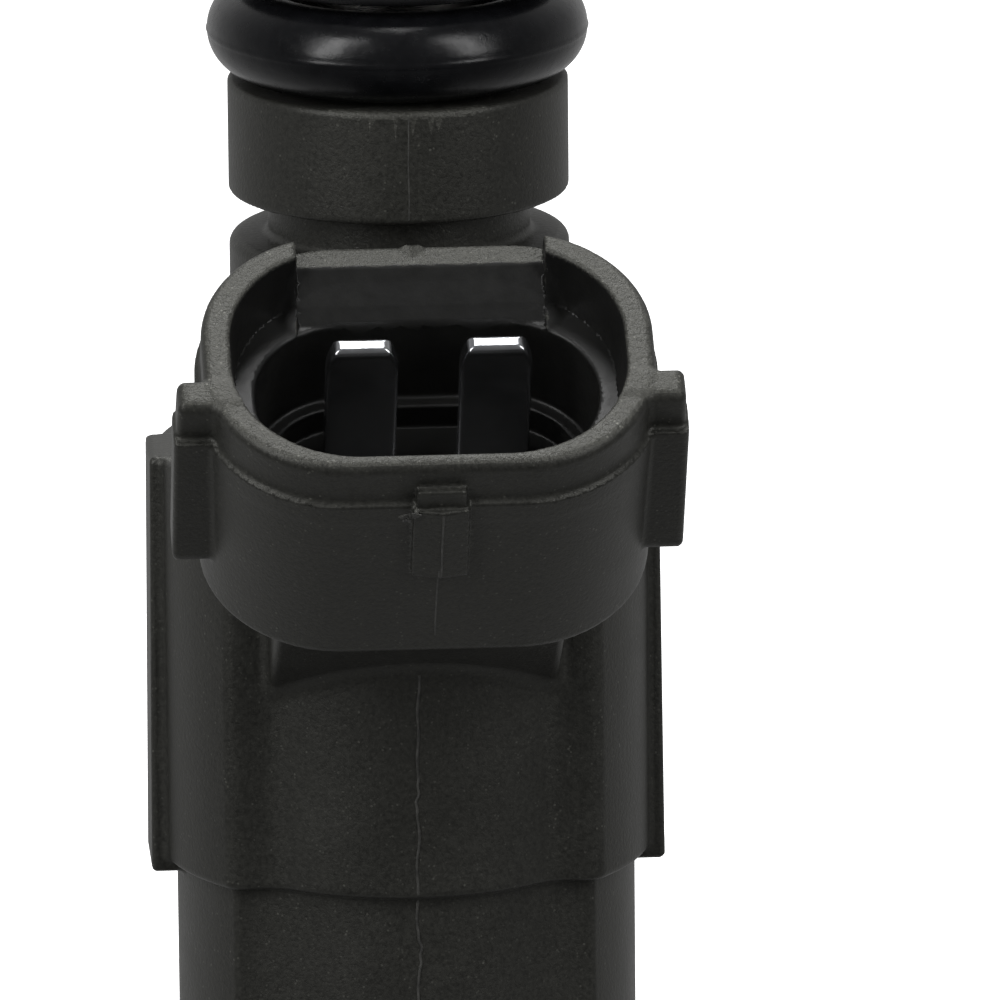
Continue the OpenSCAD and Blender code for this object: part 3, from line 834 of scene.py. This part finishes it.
def dress(ob, name):
    """Gives an object one finish all over."""
    ob.data.materials.clear()
    ob.data.materials.append(FINISHES[name])


slot_of = {part["node"]: part["material_slot"] for part in frame["record"]["subparts"]}
for node, ob in frame["nodes"].items():
    dress(ob, "filter_weave" if node == "filter_mesh" else slot_of[node])

# the moulded body has three finishes: 0 outside, 1 in the socket, darkened as painted shade, 2 on
# top of the rim, paled as a painted highlight
dress(moulded, "moulded_nylon")
moulded.data.materials.append(FINISHES["polished_nylon_painted_shade"])
moulded.data.materials.append(FINISHES["rim_painted_highlight"])
middles = np.empty(len(moulded.data.polygons) * 3, np.float32)
moulded.data.polygons.foreach_get("center", middles)
x, y, z = middles.reshape(-1, 3).T.astype(float) / MM
u, depth = socket_axes(y, z)
# faces in the socket's hollow take the darker finish: painted shade
inside = (socket_hollow(x, u, depth) < 0.03) & (depth > 0.15)
# faces on the rim's top and in the notch of the back wall take the paler finish: a painted
# highlight
painted_highlight_faces = (depth < 0.07) | ((np.abs(x) < 4.6) & (u > 5.9) & (depth < 1.0))
finish = np.where(inside, 1, np.where(painted_highlight_faces, 2, 0))
moulded.data.polygons.foreach_set("material_index", finish.astype(np.int32))

for bead in seams:
    dress(bead, "flash")
for piece, name in (
    ("blade_left", "tinned_blade"), ("blade_right", "tinned_blade"),
    ("rail_seal", "seal_rubber"), ("manifold_seal", "seal_rubber"),
    ("inlet_cap", "cap_plastic"), ("outlet_cap", "cap_plastic"),
    ("backup_ring", "natural_nylon"), ("coil_can", "housing_steel"),
    ("valve_spring", "spring_steel"),
):
    dress(bpy.data.objects[piece], name)

# --- floor, light and camera ------------------------------------------------------

bpy.ops.mesh.primitive_plane_add(size=3.0, location=(0, 0, -0.0004))
floor = bpy.context.object
floor.name = "floor"
pale = bpy.data.materials.new("pale_floor")
pale.use_nodes = True
paper = pale.node_tree.nodes["Principled BSDF"]
paper.inputs["Base Color"].default_value = (0.9, 0.9, 0.9, 1)
paper.inputs["Roughness"].default_value = 0.9
paper.inputs["Emission Color"].default_value = (1, 1, 1, 1)
paper.inputs["Emission Strength"].default_value = 0.85
floor.data.materials.append(pale)
floor.visible_glossy = False
floor.visible_diffuse = False

# a studio that is bright behind the object and dark in front of it
world = bpy.data.worlds.new("studio")
world.use_nodes = True
tree = world.node_tree
direction = tree.nodes.new("ShaderNodeTexCoord")
facing = tree.nodes.new("ShaderNodeVectorMath")
facing.operation = "DOT_PRODUCT"
facing.inputs[1].default_value = (0, 0.85, -0.35)
shade = tree.nodes.new("ShaderNodeMapRange")
shade.interpolation_type = "SMOOTHSTEP"
tree.nodes["Background"].inputs["Color"].default_value = (1, 1, 1, 1)
for socket, value in (("From Min", -0.35), ("From Max", 0.75), ("To Min", 0.1), ("To Max", 0.52)):
    shade.inputs[socket].default_value = value
tree.links.new(direction.outputs["Generated"], facing.inputs[0])
tree.links.new(facing.outputs["Value"], shade.inputs["Value"])
tree.links.new(shade.outputs["Result"], tree.nodes["Background"].inputs["Strength"])
bpy.context.scene.world = world
bpy.context.scene.view_settings.view_transform = "Standard"

AIM = Vector((0, 0, 48)) * MM
LIGHT_FAR, LIGHT_TALL = 0.5, 0.42  # metres, the same for every light


def softbox(name, azimuth, elevation, width, watts):
    """A rectangular area light that faces the upper body; angles in degrees, width in metres."""
    data = bpy.data.lights.new(name, "AREA")
    data.shape = "RECTANGLE"
    data.size, data.size_y = width, LIGHT_TALL
    data.energy = watts
    light = placed(name, data)
    az, el = math.radians(azimuth), math.radians(elevation)
    away = Vector((math.sin(az) * math.cos(el), -math.cos(az) * math.cos(el), math.sin(el)))
    light.location = AIM + away * LIGHT_FAR
    light.rotation_euler = away.to_track_quat("Z", "Y").to_euler()


softbox("left_softbox", -47, 32, width=0.1, watts=1.35)
softbox("right_softbox", 44, 32, width=0.1, watts=0.95)
# two strips overhead, which lean over the back of the object
softbox("top_strip_left", 186, 72, width=0.062, watts=0.9)
softbox("top_strip_right", 153, 70, width=0.04, watts=0.6)

AZIMUTH, ELEVATION, ROLL = math.radians(-3.8), math.radians(14.767), math.radians(0.514)
CAMERA_FAR = 529.7
PX_PER_MM = 25.998  # at the target, in a picture PICTURE_PX wide
PICTURE_PX, SENSOR_MM = 1000, 36
DISTANCE, LENS_PX = CAMERA_FAR * MM, CAMERA_FAR * PX_PER_MM
TARGET = Vector((3.77, 0.0, 47.183)) * MM
forward = Vector((-math.sin(AZIMUTH) * math.cos(ELEVATION),
                  math.cos(AZIMUTH) * math.cos(ELEVATION), -math.sin(ELEVATION)))
right = Vector((math.cos(AZIMUTH), math.sin(AZIMUTH), 0))
basis = Matrix((right, right.cross(forward), -forward)).transposed().to_4x4()
camera = placed("camera", bpy.data.cameras.new("camera"))
place = Matrix.Translation(TARGET - forward * DISTANCE)
camera.matrix_world = place @ basis @ Matrix.Rotation(-ROLL, 4, "Z")
camera.data.sensor_width = SENSOR_MM
camera.data.lens = LENS_PX * SENSOR_MM / PICTURE_PX
camera.data.clip_start = 0.01
bpy.context.scene.camera = camera
